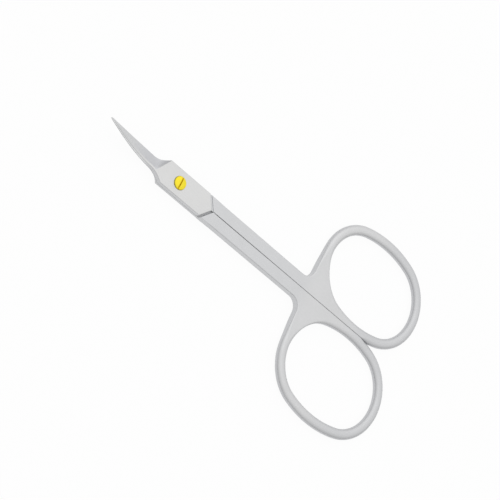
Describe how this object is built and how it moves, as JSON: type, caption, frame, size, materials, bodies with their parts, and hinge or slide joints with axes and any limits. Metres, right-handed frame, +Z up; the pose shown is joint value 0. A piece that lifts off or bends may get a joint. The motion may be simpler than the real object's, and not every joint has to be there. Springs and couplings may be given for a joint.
{
  "type": "cuticle scissors",
  "caption": "Small curved cuticle scissors with oval finger rings, slim shanks and needle-point blades turning on a slotted pivot screw.",
  "frame": {"origin": "on the pivot screw's axis, at the height of the flat undersides of the shanks and finger rings that the closed scissors lie on", "axes": "+X along the scissors from the pivot to the blade tips, +Y to the side of the lower half's finger ring, +Z up along the pivot axis to the screw's head and the side that the tips curve to"},
  "size_m": [0.09, 0.0462, 0.0046],
  "materials": {
    "blade_steel": "satin, finely ground",
    "screw_brass": "polished gold colour"
  },
  "bodies": {
    "lower_lever": {"lower_half": "blade_steel", "pivot_screw": "screw_brass"},
    "upper_lever": {"upper_half": "blade_steel"}
  },
  "joints": [
    {"name": "pivot", "type": "hinge", "parent": "lower_lever", "child": "upper_lever", "pos_m": [0, 0, 0.001], "axis": [0, 0, 1], "range_deg": [0, 60]}
  ]
}
